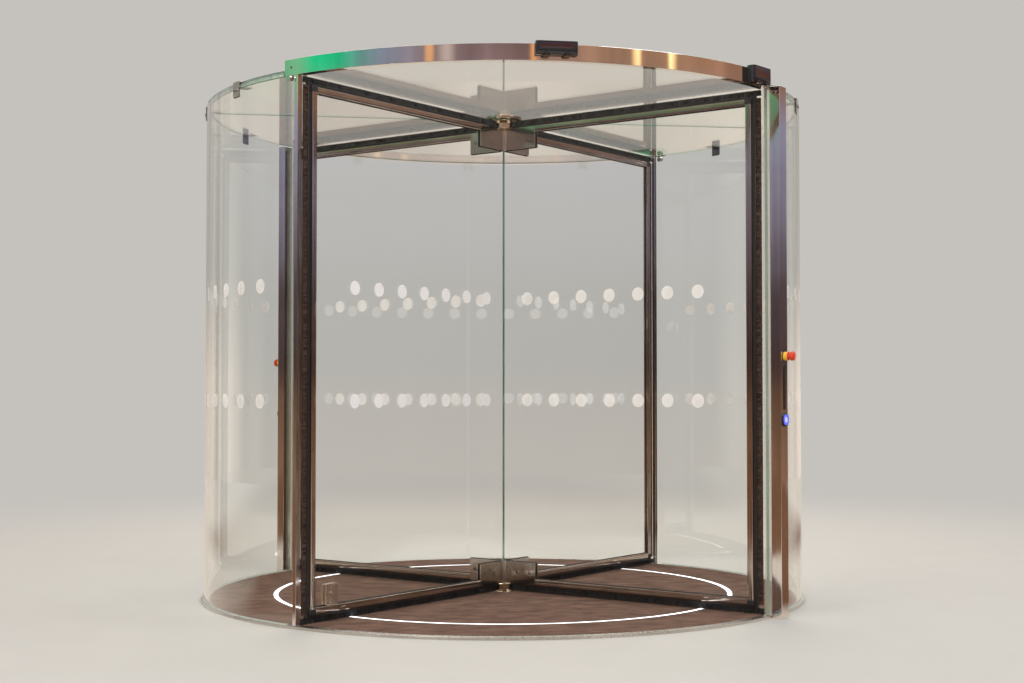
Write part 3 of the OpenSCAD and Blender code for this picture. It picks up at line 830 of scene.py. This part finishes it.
def makeBrushes(look):
    stileOut = leafFrameHigh.x
    start, half = leafBrushLow.x, leafBrushHigh.y
    side = look["sideCarrier"]
    railLow, railHigh = leafFrameLow.z, leafFrameHigh.z
    carrierLow, carrierHigh = railLow - look["levelCarrier"], railHigh + look["levelCarrier"]
    carriers = bmesh.new()
    for left, low, right, high in ((start, carrierLow, stileOut, railLow), (start, railHigh, stileOut, carrierHigh),
                                   (stileOut, carrierLow, stileOut + side, carrierHigh)):
        addBox(carriers, (left, -half, low), (right, half, high), width=look["carrierEdge"])
    onEachLeaf(carriers, "brush_carriers", ["carrierBlack"])
    run = leafBrushHigh.x - start
    reach = carrierLow - leafBrushLow.z + look["bristleSpare"]
    bristles = bmesh.new()
    addBristles(bristles, moved(start, 0, carrierLow) @ upsideDown, run, reach, look, 3)
    addBristles(bristles, moved(start, 0, carrierHigh), run, reach, look, 5)
    onEachLeaf(bristles, "level_bristles", ["bristleBlack"], "leaf_%d_brushes")
    edge = bmesh.new()
    place = moved(stileOut + side, 0, railHigh) @ alongX
    addBristles(edge, place, railHigh - railLow, leafBrushHigh.x - stileOut - side, look, 7)
    # the side bristles are brown: their own brown tips, and painted warm light shining through them
    onEachLeaf(edge, "side_bristles", ["bristleBrown"])


def makeGaskets(look):
    # black lines where the glass leaves the rails, the stile and the patch fittings
    wide, start, rail = look["gasket"], look["gasketFrom"], look["railCover"]
    face = leafGlassHigh.y
    patch = boxInTurn("hub_patches_bottom", leafTurn(1))[1]
    inner, low = patch.x, patch.z
    high = boxInTurn("hub_patches_top", leafTurn(1))[0].z
    stileIn = leafFrameHigh.x - rail
    foot, head = leafFrameLow.z + rail, leafFrameHigh.z - rail
    spans = [((inner, foot), (stileIn, foot + wide)), ((inner, head - wide), (stileIn, head)),
             ((stileIn - wide, foot), (stileIn, head)), ((inner, foot), (inner + wide, low)),
             ((inner, high), (inner + wide, head)), ((start, low), (inner + wide, low + wide)),
             ((start, high - wide), (inner + wide, high))]
    strips = bmesh.new()
    for side in (-1, 1):
        ys = sorted((side * face, side * (face + look["gasketRise"])))
        for (x0, z0), (x1, z1) in spans:
            addBox(strips, (x0, ys[0], z0), (x1, ys[1], z1))
    onEachLeaf(strips, "gaskets", ["blackRubber"])


def makeShoes(look):
    # black caps over both ends of the stile
    stile = leafFrameHigh.x
    thick = leafFrameHigh.y + look["shoeThick"]
    over, tall, wide = look["shoeOver"], look["shoeHeight"], look["shoeWidth"]
    shoes = bmesh.new()
    for low in (leafFrameLow.z - over, leafFrameHigh.z - tall + over):
        addBox(shoes, (stile - wide, -thick, low), (stile + over, thick, low + tall), width=look["shoeEdge"])
    onEachLeaf(shoes, "stile_shoes", ["blackRubber"])


def makeLeafDots(look):
    face = leafGlassHigh.y + look["leafGap"]
    dots = bmesh.new()
    for row in look["rows"]:
        for number in range(int((leafGlassHigh.x - look["leafSpare"]) / look["spacing"])):
            place = moved(look["leafFrom"] + number * look["spacing"], face, row) @ facingSide(-1)
            addRod(dots, look["radius"], look["radius"], look["thickness"], place, look["segments"])
    onEachLeaf(dots, "dots", ["frostDot"])


def makeLeaves(look):
    glass = leafCopy("leaf_1_glass", look["arris"], lambda face: abs(face.normal.y) < edgeShare)
    onEachLeaf(glass, "pane", ["leafGlass", "glassEdge"], "leaf_%d_glass")
    metal = leafCopy("leaf_1_frame", look["frameEdge"])
    onEachLeaf(metal, "rails", ["leafAluminium"], "leaf_%d_frame")
    makeBrushes(look)
    makeGaskets(look)
    makeShoes(look)
    makeLeafDots(dotLook)


makeLeaves(leafParts)
print("leaves made")


# Hub

hubParts = {"patchEdge": 0.002, "pivotEdge": 0.002, "jointEdge": 0.001, "lockEdge": 0.0015, "plateThick": 0.010,
            "screw": (0.0084, 0.0024), "screwDepth": 0.003, "screwSpots": (0.102, 0.176),
            "lockScrew": (0.004, 0.0012), "lockScrewInset": 0.012}


def makeHub(look):
    for node in ("hub_patches_top", "hub_patches_bottom"):
        dress(node, node + "_plates", ["fittingSteel"], look["patchEdge"], body=leafBody)
    for node in ("top_pivot", "bottom_pivot"):
        dress(node, node + "_disc", ["bearingSteel"], look["pivotEdge"], body=leafBody)
    dress("hub_joint", "hub_joint_bead", ["hubSeal"], look["jointEdge"], body=leafBody)
    dress("leaf_lock", "leaf_lock_case", ["lockSteel"], look["lockEdge"], body=leafBody)
    plate = leafGlassHigh.y + look["plateThick"]
    face = plate - look["screwDepth"]
    screws = bmesh.new()
    for node in ("hub_patches_top", "hub_patches_bottom"):
        height = sum(corner.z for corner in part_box(node)) / 2
        for side in (-1, 1):
            for x in look["screwSpots"]:
                place = moved(x, side * face, height) @ facingSide(side)
                addScrew(screws, place, look["screw"])
    onEachLeaf(screws, "patch_screws", ["screwSteel"])
    small = bmesh.new()
    inset = look["lockScrewInset"]
    for side in (-1, 1):
        for x in (lockLow.x + inset, lockHigh.x - inset):
            for z in (lockLow.z + inset, lockHigh.z - inset):
                place = moved(x, side * plate, z) @ facingSide(side)
                addScrew(small, place, look["lockScrew"])
    small.transform(leafTurn(lockedLeaf))
    pieceFrom(small, "leaf_lock_screws", ["screwSteel"], body=leafBody)


makeHub(hubParts)
print("hub made")


# Studio

# Pairs of numbers are where a change starts and ends. Polished metal mirrors the floor as paving, dark far to the
# sides and at the foot of the street post, and pale elsewhere.
studio = {"floorSize": 120, "floorDrop": 0.0005, "floorColour": (0.50, 0.485, 0.46), "fade": (2.6, 9.0),
          "air": (0.56, 0.54, 0.51), "airLight": (0.86, 0.84, 0.82), "airMirror": (0.30, 0.26, 0.24),
          "pavingDark": (0.22, 0.11, 0.06), "pavingPale": (0.78, 0.69, 0.59), "farAside": (2.2, 3.6),
          "farAhead": (4.5, 1.5), "footAside": (1.2, 1.7), "footLean": -0.3, "footAhead": (-0.9, -1.2)}


def eased(finish, value, edges):
    # 0 at the first edge and 1 at the second, with a soft change between them
    return addNode(finish, "MapRange", {"Value": value, "From Min": edges[0], "From Max": edges[1]},
                   interpolation_type="SMOOTHSTEP").outputs["Result"]


def reckoned(finish, operation, *values):
    # result of a sum, from sockets and plain numbers
    return addNode(finish, "Math", dict(enumerate(values)), operation=operation).outputs["Value"]


def makeFloorFinish(look):
    # pale floor that fades into the air, and that polished metal mirrors as paving
    finish = newFinish("studioFloor")
    pale = look["floorColour"]
    cloud = twoColours(finish, objectNoise(finish, 3), [c * 0.98 for c in pale], pale)
    matt = principled(finish, {"Base Color": cloud, "Roughness": 0.7, "Specular IOR Level": 0.2})
    place = addNode(finish, "TexCoord").outputs["Object"]
    away = addNode(finish, "VectorMath", {0: place}, operation="LENGTH").outputs["Value"]
    shown = mixed(finish, eased(finish, away, look["fade"]), matt, plainShader(finish, look["air"]))
    parts = addNode(finish, "SeparateXYZ", {"Vector": place})
    ahead = parts.outputs["Y"]
    aside = reckoned(finish, "ABSOLUTE", parts.outputs["X"])
    lean = reckoned(finish, "MULTIPLY_ADD", aside, look["footLean"], ahead)
    far, foot = (reckoned(finish, "MULTIPLY", eased(finish, aside, look[part + "Aside"]),
                          eased(finish, line, look[part + "Ahead"]))
                 for part, line in (("far", ahead), ("foot", lean)))
    pale, dark = (plainShader(finish, look[key]) for key in ("pavingPale", "pavingDark"))
    mirrored = mixed(finish, reckoned(finish, "MAXIMUM", far, foot), pale, dark)
    addSurface(finish, byRay(finish, "Glossy Depth", shown, mirrored))
    return finish


def makeStage(look):
    bm = bmesh.new()
    bmesh.ops.create_grid(bm, x_segments=1, y_segments=1, size=look["floorSize"] / 2,
                          matrix=moved(0, 0, -look["floorDrop"]))
    mesh = meshFrom(bm, "studio_floor")
    mesh.materials.append(makeFloorFinish(look))
    floor = placed("studio_floor", mesh)
    world = bpy.data.worlds.new("studioAir")
    bpy.context.scene.world = world
    world.use_nodes = True
    world.node_tree.nodes.clear()
    seen, light, mirror = (plainShader(world, look[key], "Background") for key in ("air", "airLight", "airMirror"))
    lit = byRay(world, "Is Diffuse Ray", seen, light)
    addSurface(world, byRay(world, "Glossy Depth", lit, mirror), "OutputWorld")


# Round screen that only polished metal and glass mirror, plain behind the door and above it. The first list has its
# colours round the door, by degrees from straight ahead, and the second those below them, by height in metres.
screen = {"radius": 11.0, "low": -0.2, "high": 12.0, "blend": (3.9, 4.6), "streak": 0.25,
          "behind": (3.8, 6.4), "behindColours": [(1.1, (0.80, 0.69, 0.59)), (2.4, (0.50, 0.47, 0.43))],
          "above": (5.0, 5.6), "aboveColours": [(0, (0.46, 0.44, 0.42))]}
screenTurns = [
    (-150, (0.17, 0.135, 0.12)), (-118, (0.10, 0.34, 0.17)), (-84, (0.20, 0.58, 0.30)), (-77, (0.02, 0.66, 0.28)),
    (-66, (0.02, 0.60, 0.27)), (-59, (0.14, 0.42, 0.34)), (-51, (0.26, 0.32, 0.40)), (-42, (0.28, 0.26, 0.32)),
    (-35, (0.27, 0.20, 0.21)), (-33, (1.30, 0.62, 0.22)), (-31, (0.28, 0.20, 0.19)), (-27, (0.75, 0.60, 0.52)),
    (-24, (0.27, 0.18, 0.18)), (-8, (0.25, 0.155, 0.15)), (0, (0.27, 0.16, 0.14)), (1.5, (1.30, 0.60, 0.22)),
    (3.5, (0.32, 0.19, 0.14)), (20, (0.42, 0.24, 0.155)), (36, (0.46, 0.26, 0.16)), (37.5, (3.0, 2.0, 0.9)),
    (39, (0.46, 0.25, 0.15)), (49.5, (0.45, 0.25, 0.15)), (51, (3.0, 2.0, 0.9)), (52.5, (0.44, 0.24, 0.14)),
    (90, (0.40, 0.20, 0.12)), (118, (0.34, 0.17, 0.10)), (150, (0.17, 0.135, 0.12)),
]
screenHeights = [
    (0.0, (0.30, 0.17, 0.10)), (0.9, (0.20, 0.11, 0.07)), (1.3, (0.085, 0.052, 0.050)), (2.2, (0.11, 0.08, 0.085)),
    (2.9, (0.26, 0.23, 0.29)), (3.9, (0.34, 0.33, 0.44)), (4.6, (0.30, 0.24, 0.26)),
]


def rampOf(finish, value, stops, high):
    # colours by a number from 0 to high
    span = addNode(finish, "MapRange", {"Value": value, "From Max": high}).outputs["Result"]
    ramp = addNode(finish, "ValToRGB", {"Fac": span})
    elements = ramp.color_ramp.elements
    elements.remove(elements[0])
    for number, (spot, colour) in enumerate(stops):
        stop = elements.new(spot / high) if number else elements[0]
        stop.position = spot / high
        stop.color = (*colour, 1)
    return ramp.outputs["Color"]


def makeScreenFinish(look):
    finish = newFinish("streetScreen")
    place = addNode(finish, "TexCoord").outputs["Object"]
    facing = addNode(finish, "Mapping", {"Vector": place, "Rotation": (0, 0, math.pi / 2)}).outputs["Vector"]
    around = addNode(finish, "TexGradient", {"Vector": facing}, gradient_type="RADIAL").outputs["Fac"]
    parts = addNode(finish, "SeparateXYZ", {"Vector": place})
    height = parts.outputs["Z"]
    top = 5  # metres that the ramps by height span
    upper = rampOf(finish, around, [(0.5 + turn / 360, colour) for turn, colour in screenTurns], 1)
    lower = rampOf(finish, height, screenHeights, top)
    shade = mixedColours(finish, eased(finish, height, look["blend"]), lower, upper)
    for part, line in (("behind", parts.outputs["Y"]), ("above", height)):
        plain = rampOf(finish, height, look[part + "Colours"], top)
        shade = mixedColours(finish, eased(finish, line, look[part]), shade, plain)
    streaks = spread(finish, objectNoise(finish, 0.5, (1, 1, 0.3), 4), 1 - look["streak"], 1 + look["streak"])
    glow = addNode(finish, "Emission", {"Color": shade, "Strength": streaks}).outputs[0]
    addSurface(finish, byRay(finish, "Glossy Depth", plainShader(finish, (1, 1, 1), "BsdfTransparent"), glow))
    return finish


def makeScreen(look):
    bm = bmesh.new()
    low, high = (bm.verts.new((look["radius"], 0, z)) for z in (look["low"], look["high"]))
    line = bm.edges.new((low, high))
    bmesh.ops.spin(bm, geom=[low, high, line], cent=(0, 0, 0), axis=up, angle=math.tau, steps=96, use_merge=True)
    mesh = meshFrom(bm, "street_screen")
    mesh.materials.append(makeScreenFinish(look))
    wall = placed("street_screen", mesh)
    wall.visible_diffuse = wall.visible_shadow = wall.visible_camera = False


lamps = {
    "keyLamp": dict(at=(-5.0, -6.5, 6.5), size=(5, 4), power=360, colour=(1.0, 0.95, 0.88)),
    "fillLamp": dict(at=(5.5, -4.5, 7.5), size=(4, 4), power=260, colour=(0.92, 0.95, 1.0)),
    "backLamp": dict(at=(1.5, 7.0, 6.0), size=(6, 3), power=320, colour=(1.0, 0.90, 0.78)),
}
lampAim = (0, 0, 1.2)
view = {"lens": 54.0, "sensor": 36, "at": (-1.155, -7.823, 1.039), "aim": (0.045, 0, 1.285)}
glowLook = {"Threshold": 1.2, "Strength": 0.45, "Size": 0.32}


def aimAt(thing, at, aim):
    thing.location = at
    thing.rotation_euler = (Vector(aim) - Vector(at)).to_track_quat("-Z", "Y").to_euler()


def makeLights():
    for name, look in lamps.items():
        lamp = bpy.data.lights.new(name, "AREA")
        lamp.shape = "RECTANGLE"
        lamp.size, lamp.size_y = look["size"]
        lamp.energy = look["power"]
        lamp.color = look["colour"]
        thing = placed(name, lamp)
        aimAt(thing, look["at"], lampAim)
        thing.visible_camera = thing.visible_transmission = False


def makeCamera(look):
    # stands where the photograph was taken from, and looks at the middle of the door
    lens = bpy.data.cameras.new("doorCamera")
    lens.sensor_width = look["sensor"]
    lens.lens = look["lens"]
    thing = placed("doorCamera", lens)
    aimAt(thing, look["at"], look["aim"])
    bpy.context.scene.camera = thing


def makeGlow(look):
    # true colours, and a soft glow round what is lit
    scene = bpy.context.scene
    scene.view_settings.view_transform = "Standard"
    scene.use_nodes = True
    tree = scene.node_tree
    tree.nodes.clear()
    layers = tree.nodes.new("CompositorNodeRLayers")
    glare = tree.nodes.new("CompositorNodeGlare")
    glare.glare_type = "BLOOM"
    for key, value in look.items():
        glare.inputs[key].default_value = value
    out = tree.nodes.new("CompositorNodeComposite")
    tree.links.new(layers.outputs["Image"], glare.inputs["Image"])
    tree.links.new(glare.outputs["Image"], out.inputs["Image"])


makeStage(studio)
makeScreen(screen)
makeLights()
makeCamera(view)
makeGlow(glowLook)
print("studio made")
